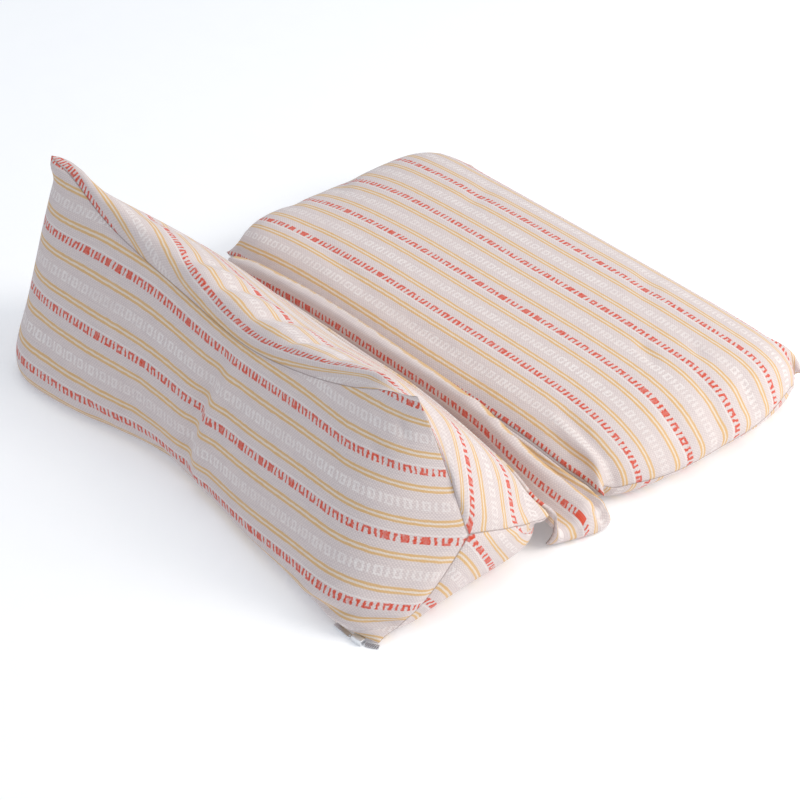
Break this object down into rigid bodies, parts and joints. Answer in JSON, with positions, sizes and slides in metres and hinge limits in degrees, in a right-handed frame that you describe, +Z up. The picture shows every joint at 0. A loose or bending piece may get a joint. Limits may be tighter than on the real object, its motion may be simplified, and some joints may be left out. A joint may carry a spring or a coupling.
{
  "type": "buckwheat neck pillow",
  "caption": "Striped cotton neck pillow of a hull-filled wedge and a flat cushion, joined by a pleated cloth hinge, with a zip at the wedge's front corner.",
  "frame": {"origin": "middle of the footprint, on the surface the pillow rests on", "axes": "+X along the seams and stripes, +Y from the wedge to the flat cushion, +Z up"},
  "size_m": [0.4426, 0.4324, 0.1567],
  "materials": {
    "cotton": "plain weave with woven stripes",
    "zip_tape": "matte",
    "zip_metal": "satin"
  },
  "bodies": {
    "root": {"wedge_cushion": "cotton", "flat_cushion": "cotton", "hinge_strip": "cotton", "zip_chain": "zip_tape", "zip_slider": "zip_metal", "zip_pull": "zip_metal"}
  },
  "joints": []
}
